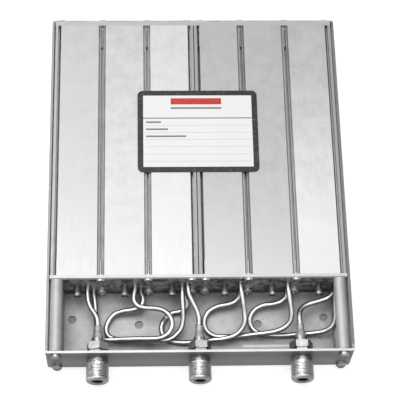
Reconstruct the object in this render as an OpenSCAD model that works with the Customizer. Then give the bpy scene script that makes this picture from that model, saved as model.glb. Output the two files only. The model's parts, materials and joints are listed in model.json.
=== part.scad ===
// Flat six-cavity duplexer: an open aluminium pan that holds two extruded
// cavity blocks, with a cable bay and three coaxial jacks at the front.
// X runs across the pan, Y from the jacks to the tuning screws, Z up.
// The origin is the centre of the pan's underside.

/* [Cavity blocks] */
// Outside width of one cavity
cell_w = 28; // [22:0.5:36]
// Outside height of one cavity
cell_h = 30; // [24:0.5:38]
// Wall of a cavity
cell_wall = 1.8; // [1.2:0.1:2.6]
// Inside corner radius of a cavity
cell_corner_r = 1.5; // [0.5:0.1:3]
// Open groove between two cavities of a block
groove_w = 5.2; // [4.4:0.1:8]
// Upright lip along each outer side of a block
lip_t = 2; // [1.2:0.1:3]
// Slot between a lip and the outer cavity
lip_slot = 2.2; // [1.4:0.1:3.4]
// Length of a block
block_l = 202; // [160:1:250]
// Gap between the two blocks
block_gap = 0.6; // [0.2:0.1:2]

/* [Screw ports] */
// Clearance around a screw in its port
port_gap = 0.05; // [0.05:0.05:0.2]
// Bite of a port's round wall into the cavities beside a groove
port_bite = 0.6; // [0.4:0.1:1.2]
// Bite of an outer port's round wall into the lip
lip_bite = 0.7; // [0.4:0.1:1.6]
// Port axis below the top and above the foot of a block
port_in = 4.5; // [3.6:0.1:6]

/* [Pan] */
// Sheet of the pan
pan_t = 1.6; // [1.2:0.1:3]
// Inside radius of the folds along the sides
side_fold_r = 2; // [0.4:0.1:3]
// Inside radius of the folds at the ends and of the rear corners
end_fold_r = 0.8; // [0.4:0.1:2]
// Inside radius of the front corners
front_corner_r = 0.5; // [0.2:0.1:1]
// Clearance between the blocks and the side walls
side_gap = 1; // [0.2:0.1:2]
// Length of the open cable bay
bay_l = 53.2; // [48:0.1:70]
// Drain and fixing holes in the floor of the bay
floor_hole_d = 6; // [3:0.5:8]
// Outer floor holes, across and back from the front
outer_hole = [88.9, 35.3]; // [10:0.1:120]
// Inner floor holes, across and back from the front
inner_hole = [41.9, 31]; // [10:0.1:120]

/* [End plates] */
// Plate between the bay and the blocks
mid_plate_t = 2.2; // [1.5:0.1:4]
// Plate behind the blocks
rear_plate_t = 2.9; // [1.5:0.1:4]
// Clearance around a screw in a plate
screw_gap = 0.2; // [0.1:0.05:0.5]

/* [Screws] */
// Shank of the block screws
screw_d = 3.5; // [3:0.1:4]
// Head of the block screws
head_d = 6.9; // [6:0.1:8]
// Height of a screw head
head_h = 2.4; // [1.6:0.1:3]
// Height of a corner screw's head in front of the pan
corner_head_h = 3.8; // [1.8:0.1:5]
// Depth of the front screws in the blocks
front_grip = 12.3; // [6:0.1:20]
// Depth of the rear screws in the blocks
rear_grip = 17; // [6:0.1:24]
// Clearance of the lower spacer tubes above the floor
spacer_gap = 0.1; // [0.1:0.05:1]
// Chamfer at the ends of a spacer tube
spacer_chamfer = 0.4; // [0.2:0.1:1]
// Clearance around a screw in a spacer tube
spacer_fit = 0.35; // [0.1:0.05:0.6]

/* [Jacks] */
// Outer jacks, inwards from the axis of the outer cavities
jack_in = 14.5; // [8:0.1:24]
// Outside of the threaded nose
jack_d = 15.9; // [12:0.1:18]
// Nose in front of the wall
jack_out = 16.2; // [10:0.1:20]
// Length of the groove at the wall, of the lock ring and of the groove in front of it
jack_ring = [1, 1.2, 1.2]; // [0.5:0.1:3]
// Depth of the grooves beside the ring
jack_groove = 1.1; // [0.4:0.1:2]
// Bore of the nose
jack_bore = 8.3; // [7:0.1:9]
// Flared mouth of the bore
jack_mouth = 10.6; // [9:0.1:13]
// Depth of the bore
jack_bore_depth = 13.5; // [8:0.1:15]
// Neck through the wall
jack_neck_d = 9.5; // [8:0.1:11]
// Panel nut across its flats
jack_nut_af = 12; // [11:0.1:14]
// Thickness of the panel nut
jack_nut_t = 4.6; // [2:0.1:6]
// Clamp nut across its flats
clamp_af = 14; // [12:0.1:16]
// Length of the clamp nut
clamp_l = 5.4; // [4:0.1:8]
// Turn of the nuts of the left, centre and right jack
nut_turn = [19, -8, 0]; // [-30:1:30]
// Collar of the jack behind the clamp nut
jack_collar_l = 3.8; // [2:0.1:8]
// Step from the neck down to the collar
collar_step = 0.6; // [0.3:0.1:1.5]
// Wall of the sleeve at its mouth
sleeve_wall = 0.9; // [0.5:0.1:1.5]
// Push fit of the nuts, beads and sleeves
push_fit = 0.05; // [0.02:0.01:0.1]
// Tapered cable sleeve behind the collar
sleeve_l = 9; // [6:0.1:12]
// Bead that holds the centre contact
insulator_d = 5; // [4:0.1:6]
// Socket of the centre contact
contact_d = 3.2; // [2.6:0.1:3.6]
// Length of the socket
contact_l = 7; // [5:0.1:8]
// Bead in front of the foot of the bore
contact_step = 1.5; // [0.5:0.1:3]
// Pin behind the socket
contact_pin_d = 1.6; // [1.2:0.1:2]
// Saw cut across the socket
contact_slot = 0.3; // [0.2:0.05:0.5]

/* [Cavity parts] */
// Outside of a resonator tube
rod_d = 9.5; // [7:0.1:12]
// Bore of a resonator tube
rod_bore = 6.6; // [5.6:0.1:8]
// Gap between a resonator and the rear plate
rod_gap = 36; // [10:1:60]
// Hollow stud that holds a resonator in the mid plate
stud_d = 5; // [3.6:0.1:6]
// Stud in front of the mid plate
stud_out = 7.8; // [3:0.1:9]
// Tuning screw
tuning_d = 4.8; // [4:0.1:5.4]
// Length of a tuning screw
tuning_l = 50; // [30:1:60]
// Tuning screw behind the pan
tuning_out = 7.8; // [5:0.1:12]
// Running clearance of a tuning screw in its bush
tuning_gap = 0.1; // [0.05:0.01:0.2]
// Shank of a tuning bush
bush_d = 7.6; // [6.4:0.1:9]
// Collar of a tuning bush
collar_d = 9.6; // [8.6:0.1:12]
// Thickness of the collar
collar_t = 1.2; // [0.8:0.1:3]
// Tuning lock nut across its flats
lock_af = 7.9; // [7:0.1:10]
// Thickness of the tuning lock nut
lock_t = 3; // [2:0.1:4]
// Wire of a coupling loop
loop_d = 1.2; // [0.8:0.1:1.6]
// Reach of a coupling loop into a cavity
loop_reach = 22; // [14:1:40]

/* [Cables] */
// Outside of the semi-rigid cable
cable_d = 3.6; // [3:0.1:4]
// Clearance of a cable in the mid plate
cable_gap = 0.15; // [0.05:0.05:0.4]
// Sides of a cable's skin
cable_sides = 10; // [8:1:16]
// Rings of skin between two points of a route
cable_steps = 3; // [2:1:6]
// Straight cable in front of a plate hole or a sleeve
cable_lead = 2; // [1:0.5:4]

/* [Rating plate] */
// Width of the plate
label_w = 87.6; // [60:0.1:100]
// Depth of the plate
label_l = 66.6; // [40:0.1:80]
// Thickness of the plate
label_t = 0.5; // [0.3:0.1:1]
// Corner radius
label_r = 4; // [1:0.1:8]
// Centre of the plate, across and forward from the rear of the blocks
label_at = [1.6, 89.6]; // [0:0.1:120]

/* [Hidden] */
$fn = 48;
cells = 3;
pitch = cell_w + groove_w;
port_d = screw_d + 2 * port_gap;
port_od = groove_w + 2 * port_bite;
port_edge = lip_t - lip_bite + port_od / 2;
block_w = 2 * (lip_t + lip_slot) + cells * cell_w + (cells - 1) * groove_w;
inner_w = 2 * block_w + block_gap + 2 * side_gap;
pan_w = inner_w + 2 * pan_t;
inner_l = bay_l + mid_plate_t + block_l + rear_plate_t;
pan_l = inner_l + 2 * pan_t;
pan_h = pan_t + cell_h;
front_y = -pan_l / 2;
bay_y = front_y + pan_t;
mid_y = bay_y + bay_l;
block_y = mid_y + mid_plate_t;
plate_y = block_y + block_l;
wall_y = plate_y + rear_plate_t;
rear_y = pan_l / 2;
mid_z = pan_t + cell_h / 2;
low_z = pan_t + port_in;
high_z = pan_h - port_in;
// Cavities run 1 to 6 from the left
function block_x(side) = side * (block_gap + block_w) / 2;
function cell_x(k) =
    k <= cells
    ? block_x(-1) + (k - (cells + 1) / 2) * pitch
    : block_x(1) + (k - cells - (cells + 1) / 2) * pitch;
// Ports of one block from its own centre, left to right
port_x = concat(
    [-block_w / 2 + port_edge],
    [for (i = [1 : cells - 1]) (i - cells / 2) * pitch],
    [block_w / 2 - port_edge]
);
function ports() = [for (side = [-1, 1]) for (x = port_x) block_x(side) + x];
corner_x = block_x(1) + block_w / 2 - port_edge;
spacer_r = port_in - spacer_gap;
rod_l = block_l - rod_gap;
jack_x = [cell_x(1) + jack_in, 0, cell_x(2 * cells) - jack_in];
collar_r = jack_neck_d / 2 - collar_step;
clamp_y = bay_y + jack_nut_t;
sleeve_y = clamp_y + clamp_l + jack_collar_l;
mouth_y = sleeve_y + sleeve_l;
bead_y = front_y - jack_out + jack_bore_depth - contact_step;
hole_fit = 2 * screw_gap;
tuning_y = rear_y + tuning_out - tuning_l;
// Cable ports of a cavity, from its centre across and from the floor up
port_a = [7.3, 15];
port_b = [11.2, 19];
port_c = [11.2, 7.6];
port_c3 = [8.4, 7.6];
port_c6 = [11.4, 13.4];
// Height of a cavity that the heights of the ports and points are given for
laid_h = 30;
// Each route: cavity and port at the start, cavity and port or jack at the end, points.
// A point is counted from a cavity and the mid plate, or from a jack (0, -1 or -2 from the
// left) and the mouth of its sleeve: across, away from the plate or mouth, up from the floor.
routes = [
    [
        [1, port_a], [0, 0],
        [[1, 7.3, 6, 15], [1, 7.8, 11, 15], [1, 9.6, 16.5, 15], [0, -2.3, 9.9, 15],
         [0, -0.5, 5.9, 15]]
    ],
    [
        [1, port_c], [2, port_a],
        [[1, 12, 8, 7.2], [1, 12.7, 17, 6.4], [1, 13.5, 24.5, 5.6],
         [1, 13.9, 29.6, 5.2], [1, 15.3, 33.7, 5], [1, 18.6, 36.3, 5.2], [1, 23, 37, 6],
         [2, -4, 37.2, 7.4], [2, 10, 37.3, 8.6], [2, 18.5, 37.6, 9.4], [3, -7.5, 36.8, 9.7],
         [3, -2.5, 33.3, 9.8], [3, -0.1, 27, 10.5], [3, -1.7, 21.6, 11.2],
         [3, -6.2, 17.6, 12.2], [3, -12, 16.4, 13.2], [2, 14, 16.2, 14],
         [2, 9.4, 15, 14.6], [2, 6.6, 11.5, 15], [2, 6.6, 6.5, 15]]
    ],
    [
        [2, port_c], [3, port_a],
        [[2, 12.8, 7, 7.7], [2, 11.6, 11.7, 7.3], [2, 7.6, 14.1, 6.6],
         [2, -1.3, 15.4, 5.2], [2, -7.3, 17.2, 4], [2, -11.5, 22, 3], [2, -13.3, 27.6, 2.2],
         [2, -11.8, 32.3, 2], [2, -6, 35.2, 2.1], [2, 5.7, 35.8, 3.5], [2, 18.7, 36.6, 5.2],
         [3, -6.5, 37.4, 5.8], [3, -1.6, 36.6, 5.9], [3, 2.6, 33.8, 6.4], [3, 5.8, 30.2, 7.5],
         [3, 7.5, 24.5, 9.8], [3, 7.6, 18.5, 12.2], [3, 7.3, 11.6, 14.4], [3, 7.3, 6, 15]]
    ],
    [
        [3, port_b], [0, 1],
        [[3, 12, 8.6, 18.7], [3, 14.5, 14, 17.4], [-1, -1.5, 11.4, 16],
         [-1, -0.1, 6.4, 15.1]]
    ],
    [
        [3, port_c3], [4, port_b],
        [[3, 9, 6, 7.2], [3, 10.6, 9.8, 6], [3, 9.2, 13.4, 4.6], [3, 5.2, 15.3, 3.2],
         [3, 0.2, 16, 2.4], [3, -3.8, 19, 2], [3, -6.8, 23.6, 2], [3, -7.5, 28.2, 2],
         [3, -6.1, 32.6, 2], [3, -2, 36.2, 2], [3, 4.5, 37.9, 2], [3, 13.5, 38, 2.1],
         [4, -14.5, 37.6, 3.2], [4, -8.5, 37.2, 4.7], [4, -0.5, 36.7, 5.9], [4, 6.5, 34.9, 7.2],
         [4, 11.3, 31.3, 9.2], [4, 13.7, 25.9, 11.5], [4, 13.4, 19.7, 14],
         [4, 12.6, 13.8, 17], [4, 11.6, 7, 19]]
    ],
    [
        [4, port_c], [5, port_b],
        [[4, 10.2, 6.6, 7.4], [4, 7, 9.8, 6.8], [4, 2.2, 11.2, 6],
         [4, -5.5, 12.6, 5], [4, -11, 15.7, 4], [4, -14.1, 20.7, 3], [4, -14.2, 25.7, 2.3],
         [4, -11.5, 30.7, 2], [4, -7, 33.3, 2], [4, -0.5, 33.9, 2.1], [4, 6.5, 34.2, 3],
         [4, 13.5, 34.1, 4.4], [5, -11.7, 33.5, 5.7], [5, -3.7, 32.9, 6.5], [5, 3.3, 31.9, 7.6],
         [5, 8.8, 29.7, 9.3], [5, 12.5, 25.9, 11.5], [5, 13.3, 21.2, 13.8],
         [5, 12.6, 15.2, 16.3], [5, 11.6, 7.5, 19]]
    ],
    [
        [5, port_c], [6, port_b],
        [[5, 10.2, 6.6, 7.4], [5, 7, 9.6, 6.8], [5, 2.2, 10.9, 6],
         [5, -6.7, 12.1, 5], [5, -11.9, 14.9, 4], [5, -15, 19.7, 3], [5, -15.2, 24.5, 2.4],
         [5, -13, 28.7, 2], [5, -8.2, 31.7, 2], [5, -0.7, 33, 2], [5, 6.8, 33.4, 2],
         [5, 14.3, 33, 2.1], [6, -10.9, 32.7, 2.9], [6, -2.9, 32.5, 4.3], [6, 3.6, 31.9, 6.3],
         [6, 8.6, 29.3, 9], [6, 10.8, 24.7, 11.3], [6, 11, 19.7, 13.8], [6, 11, 13.7, 16.3],
         [6, 11.1, 7.5, 18.7]]
    ],
    [
        [6, port_c6], [0, 2],
        [[6, 10.6, 5.6, 13.4], [6, 7.6, 8.8, 13.1], [6, 2.9, 10.8, 12.6], [6, -3.2, 12.4, 12],
         [6, -8, 13.9, 11.7], [-2, 3.2, 14.6, 12], [-2, 0.7, 11, 13.3],
         [-2, -0.1, 6.4, 14.7]]
    ]
];
cable_names = ["left_jack_cable", "first_link_cable", "second_link_cable", "centre_jack_cable",
    "third_link_cable", "fourth_link_cable", "fifth_link_cable", "right_jack_cable"];

// A profile in X and Z, drawn out along Y
module along_y(y, length) {
    translate([0, y + length, 0]) rotate([90, 0, 0]) linear_extrude(length) children();
}

// A rod along Y
module rod_y(d, y, length) {
    translate([0, y, 0]) rotate([-90, 0, 0]) cylinder(d = d, h = length);
}

// A ring-shaped or solid turned part along Y, from its half outline
module turned_y(y) {
    translate([0, y, 0]) rotate([-90, 0, 0]) rotate_extrude() children();
}

// A hexagon bar along Y, turned about its axis
module hex_y(af, y, length, turn = 0) {
    translate([0, y, 0]) rotate([0, -turn, 0]) rotate([-90, 0, 0])
        cylinder(d = af / cos(30), h = length, $fn = 6);
}

module rounded_square(w, h, r) {
    translate([r - w / 2, -h / 2]) square([w - 2 * r, h]);
    translate([-w / 2, r - h / 2]) square([w, h - 2 * r]);
    for (x = [-1, 1], y = [-1, 1]) translate([x * (w / 2 - r), y * (h / 2 - r)]) circle(r);
}

// A tub from three crossed prisms, so that each fold is a true cylinder
module tub(w, l, top, side_r, end_r, corner_front, corner_rear) {
    intersection() {
        along_y(-l / 2, l) union() {
            translate([-w / 2, side_r]) square([w, top - side_r]);
            translate([side_r - w / 2, 0]) square([w - 2 * side_r, top]);
            for (x = [-1, 1]) translate([x * (w / 2 - side_r), side_r]) circle(side_r);
        }
        translate([-w / 2, 0, 0]) rotate([90, 0, 90]) linear_extrude(w) union() {
            translate([-l / 2, end_r]) square([l, top - end_r]);
            translate([end_r - l / 2, 0]) square([l - 2 * end_r, top]);
            for (y = [-1, 1]) translate([y * (l / 2 - end_r), end_r]) circle(end_r);
        }
        linear_extrude(top) union() {
            translate([-w / 2, corner_front - l / 2]) square([w, l - corner_front - corner_rear]);
            translate([corner_front - w / 2, -l / 2]) square([w - 2 * corner_front, l / 2]);
            translate([corner_rear - w / 2, 0]) square([w - 2 * corner_rear, l / 2]);
            for (x = [-1, 1]) {
                translate([x * (w / 2 - corner_front), corner_front - l / 2]) circle(corner_front);
                translate([x * (w / 2 - corner_rear), l / 2 - corner_rear]) circle(corner_rear);
            }
        }
    }
}

module case_pan() {
    color("silver") difference() {
        tub(pan_w, pan_l, pan_h, side_fold_r + pan_t, end_fold_r + pan_t,
            front_corner_r + pan_t, end_fold_r + pan_t);
        translate([0, 0, pan_t])
            tub(pan_w - 2 * pan_t, pan_l - 2 * pan_t, pan_h, side_fold_r, end_fold_r,
                front_corner_r, end_fold_r);
        for (x = jack_x) translate([x, 0, mid_z])
            rod_y(jack_neck_d + hole_fit, front_y - 1, pan_t + 2);
        for (x = [-corner_x, corner_x], z = [low_z, high_z]) translate([x, 0, z])
            rod_y(screw_d + hole_fit, front_y - 1, pan_t + 2);
        for (x = ports(), z = [low_z, high_z]) translate([x, 0, z])
            rod_y(screw_d + hole_fit, wall_y - 1, pan_t + 2);
        for (k = [1 : 2 * cells]) translate([cell_x(k), 0, mid_z])
            rod_y(bush_d + hole_fit, wall_y - 1, pan_t + 2);
        for (hole = [outer_hole, inner_hole], side = [-1, 1])
            translate([side * hole[0], front_y + hole[1], -1])
                cylinder(d = floor_hole_d, h = pan_t + 2);
    }
}

// Outline of a block or plate, its foot corners cut to clear the folds
module cut_outline(w, foot) {
    r = side_fold_r;
    polygon([
        [-w / 2, r + foot], [r - w / 2, foot], [w / 2 - r, foot], [w / 2, r + foot],
        [w / 2, cell_h], [-w / 2, cell_h]
    ]);
}

// Section of one three-cavity extrusion, foot on zero
module block_section() {
    lip_x = (block_w - lip_t) / 2;
    slot_x = block_w / 2 - lip_t - lip_slot / 2;
    difference() {
        intersection() {
            union() {
                for (i = [0 : cells - 1]) translate([(i - (cells - 1) / 2) * pitch, cell_h / 2])
                    difference() {
                        square([cell_w, cell_h], center = true);
                        rounded_square(cell_w - 2 * cell_wall, cell_h - 2 * cell_wall,
                            cell_corner_r);
                    }
                for (x = [-lip_x, lip_x]) translate([x, cell_h / 2])
                    square([lip_t, cell_h], center = true);
                for (x = port_x, z = [port_in, cell_h - port_in]) translate([x, z])
                    circle(d = port_od);
            }
            cut_outline(block_w, 0);
        }
        for (x = port_x, z = [port_in, cell_h - port_in]) translate([x, z]) circle(d = port_d);
        // The bores open through the slots of the lips and through the grooves
        for (z = [0, cell_h]) {
            for (x = [-slot_x, slot_x]) translate([x, z])
                square([lip_slot, 2 * port_in], center = true);
            for (i = [1 : cells - 1]) translate([port_x[i], z])
                square([port_d / 2, 2 * port_in], center = true);
        }
    }
}

module cavity_block(side) {
    color("gainsboro") translate([block_x(side), 0, pan_t]) along_y(block_y, block_l)
        block_section();
}

// The cable ports of one cavity that this unit uses
function port_place(e) = [cell_x(e[0]) + e[1][0], pan_t + e[1][1] * cell_h / laid_h];
function cable_ports() = [for (r = routes) for (e = [r[0], r[1]]) if (e[0] > 0) port_place(e)];

module mid_plate() {
    color("lightgray") difference() {
        translate([0, 0, pan_t]) along_y(mid_y, mid_plate_t) cut_outline(inner_w - side_gap, 0);
        for (x = ports(), z = [low_z, high_z]) translate([x, 0, z])
            rod_y(screw_d + hole_fit, mid_y - 1, mid_plate_t + 2);
        for (k = [1 : 2 * cells]) translate([cell_x(k), 0, mid_z])
            rod_y(stud_d + hole_fit, mid_y - 1, mid_plate_t + 2);
        for (p = cable_ports()) translate([p[0], 0, p[1]])
            rod_y(cable_d + 2 * cable_gap, mid_y - 1, mid_plate_t + 2);
    }
}

module rear_plate() {
    color("lightgray") difference() {
        translate([0, 0, pan_t]) along_y(plate_y, rear_plate_t)
            cut_outline(inner_w - 2 * end_fold_r, end_fold_r);
        for (x = ports(), z = [low_z, high_z]) translate([x, 0, z])
            rod_y(screw_d + hole_fit, plate_y - 1, rear_plate_t + 2);
        for (k = [1 : 2 * cells]) translate([cell_x(k), 0, mid_z])
            rod_y(bush_d + hole_fit, plate_y - 1, rear_plate_t + 2);
    }
}

module rating_plate() {
    color("whitesmoke") translate([label_at[0], plate_y - label_at[1], pan_h])
        linear_extrude(label_t) rounded_square(label_w, label_l, label_r);
}

// Pan-head screw, head seated on y and shank running along +Y
module pan_screw(y, shank, tall = head_h, dome = 0.9) {
    dome_r = (pow(head_d / 2, 2) + dome * dome) / (2 * dome);
    driver = 0.9;
    color("silver") difference() {
        turned_y(y) union() {
            translate([0, dome - tall]) square([head_d / 2, tall - dome]);
            intersection() {
                translate([0, dome_r - tall]) circle(dome_r);
                translate([0, -tall]) square([head_d / 2, dome]);
            }
            translate([0, -0.01]) square([screw_d / 2, shank + 0.01]);
        }
        for (a = [0, 90]) translate([0, y - tall, 0]) rotate([0, a, 0])
            cube([head_d * 0.6, 2 * driver, driver], center = true);
    }
}

module mid_plate_screws() {
    for (x = ports(), z = [low_z, high_z]) if (abs(x) < corner_x - 1)
        translate([x, 0, z]) pan_screw(mid_y, mid_plate_t + front_grip);
}

module corner_screws() {
    for (x = [-corner_x, corner_x], z = [low_z, high_z]) translate([x, 0, z])
        pan_screw(front_y, pan_t + bay_l + mid_plate_t + front_grip, corner_head_h,
            corner_head_h / 2);
}

module rear_screws() {
    for (x = ports(), z = [low_z, high_z]) translate([x, rear_y, z]) rotate([0, 0, 180])
        pan_screw(0, pan_t + rear_plate_t + rear_grip);
}

module corner_spacers() {
    r = spacer_r;
    bore_r = screw_d / 2 + spacer_fit;
    c = spacer_chamfer;
    color("silver") for (x = [-corner_x, corner_x], z = [low_z, high_z]) translate([x, 0, z])
        turned_y(bay_y) polygon([
            [bore_r, 0], [r - c, 0], [r, c], [r, bay_l - c], [r - c, bay_l], [bore_r, bay_l]
        ]);
}

// Jack shell: bored nose with its lock ring in front, neck through the wall and the nuts,
// collar behind them
module jack(x) {
    rim = 2.2;
    flare = (jack_mouth - jack_bore) / 2;
    nose_r = jack_d / 2;
    groove_r = nose_r - jack_groove;
    ring_r = nose_r - jack_groove / 2;
    ring_rear = -jack_ring[0];
    ring_front = ring_rear - jack_ring[1];
    thread_end = ring_front - jack_ring[2];
    neck_end = pan_t + jack_nut_t + clamp_l;
    bead_r = insulator_d / 2;
    color("silver") translate([x, 0, mid_z]) turned_y(front_y) polygon(concat(
        [
            [bead_r, neck_end + jack_collar_l], [bead_r, jack_bore_depth - jack_out],
            [jack_bore / 2, jack_bore_depth - jack_out], [jack_bore / 2, flare - jack_out],
            [jack_mouth / 2, -jack_out]
        ],
        [for (a = [0 : 18 : 90]) [nose_r - rim * (1 - sin(a)), rim * (1 - cos(a)) - jack_out]],
        [
            [nose_r, thread_end], [groove_r, thread_end], [groove_r, ring_front],
            [ring_r, ring_front], [ring_r, ring_rear], [groove_r, ring_rear], [groove_r, 0],
            [jack_neck_d / 2, 0], [jack_neck_d / 2, neck_end], [collar_r, neck_end],
            [collar_r, neck_end + jack_collar_l]
        ]
    ));
}

module jack_insulators() {
    color("ivory") for (x = jack_x) translate([x, 0, mid_z]) difference() {
        rod_y(insulator_d - 2 * push_fit, bead_y, sleeve_y - bead_y);
        rod_y(contact_pin_d + 2 * push_fit, bead_y - 1, sleeve_y - bead_y + 2);
    }
}

// Slotted socket of the centre contact, on the pin that runs back to the cable
module jack_contacts() {
    tip = bead_y - contact_l;
    cut = 5;
    color("gold") for (x = jack_x) translate([x, 0, mid_z]) difference() {
        union() {
            rod_y(contact_d, tip, contact_l);
            rod_y(contact_pin_d, tip + 1, sleeve_y - tip - 1);
        }
        rod_y(contact_pin_d, tip - 1, cut + 1);
        for (a = [0, 90]) rotate([0, a, 0])
            translate([-contact_d, tip - 1, -contact_slot / 2])
                cube([2 * contact_d, cut + 1, contact_slot]);
    }
}

module jack_nuts() {
    color("silver") for (i = [0 : 2]) translate([jack_x[i], 0, mid_z]) difference() {
        hex_y(jack_nut_af, bay_y, jack_nut_t, nut_turn[i]);
        rod_y(jack_neck_d + 2 * push_fit, bay_y - 1, jack_nut_t + 2);
    }
}

// Longer nuts, their corners cut back at both ends
module clamp_nuts() {
    corner = clamp_af / 2 / cos(30);
    cut = 0.9;
    rise = 0.55;
    color("silver") for (i = [0 : 2]) translate([jack_x[i], 0, mid_z]) difference() {
        intersection() {
            hex_y(clamp_af, clamp_y, clamp_l, nut_turn[i]);
            turned_y(clamp_y) polygon([
                [0, 0], [corner - cut, 0], [corner, rise], [corner, clamp_l - rise],
                [corner - cut, clamp_l], [0, clamp_l]
            ]);
        }
        rod_y(jack_neck_d + 2 * push_fit, clamp_y - 1, clamp_l + 2);
    }
}

module cable_sleeves() {
    mouth = cable_d / 2 + sleeve_wall;
    color("darkgray") for (x = jack_x) translate([x, 0, mid_z]) difference() {
        turned_y(sleeve_y) polygon([
            [0, 0], [collar_r, 0], [mouth, sleeve_l * 0.6], [mouth, sleeve_l], [0, sleeve_l]
        ]);
        rod_y(cable_d + 2 * push_fit, sleeve_y - 1, sleeve_l + 2);
    }
}

// Quarter-wave tube, closed at its foot, with the hollow stud that fixes it
module resonator(k) {
    foot = 4;
    stud_bore = 2.2;
    color("burlywood") translate([cell_x(k), 0, mid_z]) difference() {
        union() {
            rod_y(rod_d, block_y, rod_l);
            rod_y(stud_d, mid_y - stud_out, stud_out + mid_plate_t + 1);
        }
        rod_y(rod_bore, block_y + foot, rod_l);
        rod_y(stud_bore, mid_y - stud_out - 1, stud_out + 1);
    }
}

// Bent wire that joins the cable ports of a cavity
module loop_wire(from, to) {
    span = norm(to - from);
    tilt = atan2(to[1] - from[1], to[0] - from[0]);
    reach = loop_reach - span / 2;
    translate([(from[0] + to[0]) / 2, block_y, (from[1] + to[1]) / 2]) rotate([0, -tilt, 0]) {
        for (side = [-1, 1]) translate([side * span / 2, 0, 0]) rod_y(loop_d, 0, reach);
        translate([0, reach, 0]) rotate_extrude(angle = 180) translate([span / 2, 0])
            circle(d = loop_d);
    }
}

// Wire of a third cable, run across to its neighbour
module branch_wire(from, to) {
    reach = loop_reach / 2;
    span = norm(to - from);
    translate([from[0], 0, from[1]]) rod_y(loop_d, block_y, reach);
    translate([from[0], block_y + reach - loop_d / 2, from[1]])
        rotate([0, 90 - atan2(to[1] - from[1], to[0] - from[0]), 0]) cylinder(d = loop_d, h = span);
}

module coupling_loop(k) {
    own = [for (r = routes) for (e = [r[0], r[1]]) if (e[0] == k) port_place(e)];
    last = len(own) - 1;
    color("gold") {
        loop_wire(own[last - 1], own[last]);
        if (last > 1) branch_wire(own[0], own[1]);
    }
}

module tuning_screw(k) {
    slot = 0.9;
    slot_depth = 1.2;
    chamfer = 0.5;
    r = tuning_d / 2;
    color("silver") translate([cell_x(k), 0, mid_z]) difference() {
        turned_y(tuning_y) polygon([
            [0, 0], [r - chamfer, 0], [r, chamfer], [r, tuning_l - chamfer],
            [r - chamfer, tuning_l], [0, tuning_l]
        ]);
        translate([-tuning_d, tuning_y + tuning_l - slot_depth, -slot / 2])
            cube([2 * tuning_d, 2 * slot_depth, slot]);
    }
}

module tuning_bushes() {
    inside = 4;
    color("gold") for (k = [1 : 2 * cells]) translate([cell_x(k), 0, mid_z]) difference() {
        union() {
            rod_y(bush_d, plate_y - inside, inside + rear_plate_t + pan_t + collar_t);
            rod_y(collar_d, rear_y, collar_t);
        }
        rod_y(tuning_d + 2 * tuning_gap, plate_y - inside - 1,
            inside + rear_plate_t + pan_t + collar_t + 2);
    }
}

module lock_nuts() {
    color("silver") for (k = [1 : 2 * cells]) translate([cell_x(k), 0, mid_z]) difference() {
        hex_y(lock_af, rear_y + collar_t, lock_t);
        rod_y(tuning_d + 2 * tuning_gap, rear_y + collar_t - 1, lock_t + 2);
    }
}

// Place of a route point
function place(p) = [
    (p[0] > 0 ? cell_x(p[0]) : jack_x[-p[0]]) + p[1],
    p[0] > 0 ? mid_y - p[2] : mouth_y + p[2],
    pan_t + p[3] * cell_h / laid_h
];
// Where a route ends: behind a hole in the mid plate, or in the sleeve of a jack
function outlet(e) =
    e[0] > 0
    ? [for (y = [mid_y - cable_lead, block_y]) [port_place(e)[0], y, port_place(e)[1]]]
    : [for (y = [mouth_y + cable_lead, mouth_y, sleeve_y]) [jack_x[e[1]], y, mid_z]];
function route_points(r) = let (start = outlet(r[0])) concat(
    [start[1], start[0]], [for (p = r[2]) place(p)], outlet(r[1])
);
// A smooth curve through the points, with the ends held straight
function unit(v) = v / norm(v);
function heading(before, after) = unit(unit(before) * norm(after) + unit(after) * norm(before));
function between(a, b, from, to, t) = let (reach = norm(b - a))
    (2 * t - 3) * t * t * (a - b) + a
    + reach * t * ((1 - t) * (1 - t) * from + t * (t - 1) * to);
function smooth(p, n) = let (
    last = len(p) - 1,
    headings = [for (i = [0 : last])
        heading(p[max(i, 1)] - p[max(i, 1) - 1], p[min(i, last - 1) + 1] - p[min(i, last - 1)])]
) concat(
    [for (i = [0 : last - 1]) for (j = [0 : n - 1])
        between(p[i], p[i + 1], headings[i], headings[i + 1], j / n)],
    [p[last]]
);
// A side vector that turns as little as possible from ring to ring
function carried(side, along) = unit(side - (side * along) * along);
function side_vectors(dirs) = [for (
    i = 0, s = carried([1, 0, 0], dirs[0]);
    i < len(dirs);
    i = i + 1, s = i < len(dirs) ? carried(s, dirs[i]) : s
) s];

module tube(path, d, sides) {
    last = len(path) - 1;
    dirs = [for (i = [0 : last])
        i == 0 ? [0, -1, 0]
        : i == last ? [0, sign(path[last][1] - path[last - 1][1]), 0]
        : unit(path[i + 1] - path[i - 1])];
    across = side_vectors(dirs);
    points = [for (i = [0 : last]) for (a = [0 : sides - 1])
        let (up = cross(dirs[i], across[i]), turn = 360 * a / sides)
        path[i] + d / 2 * (cos(turn) * across[i] + sin(turn) * up)];
    skin = [for (i = [0 : last - 1]) for (a = [0 : sides - 1])
        let (b = (a + 1) % sides, n = i * sides)
        for (f = [[n + a, n + sides + b, n + b], [n + a, n + sides + a, n + sides + b]]) f];
    polyhedron(points = points, faces = concat(
        [[for (a = [0 : sides - 1]) a]], skin,
        [[for (a = [sides - 1 : -1 : 0]) last * sides + a]]
    ), convexity = 8);
}

module cable(i) {
    color("lightgray") tube(smooth(route_points(routes[i]), cable_steps), cable_d, cable_sides);
}

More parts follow.
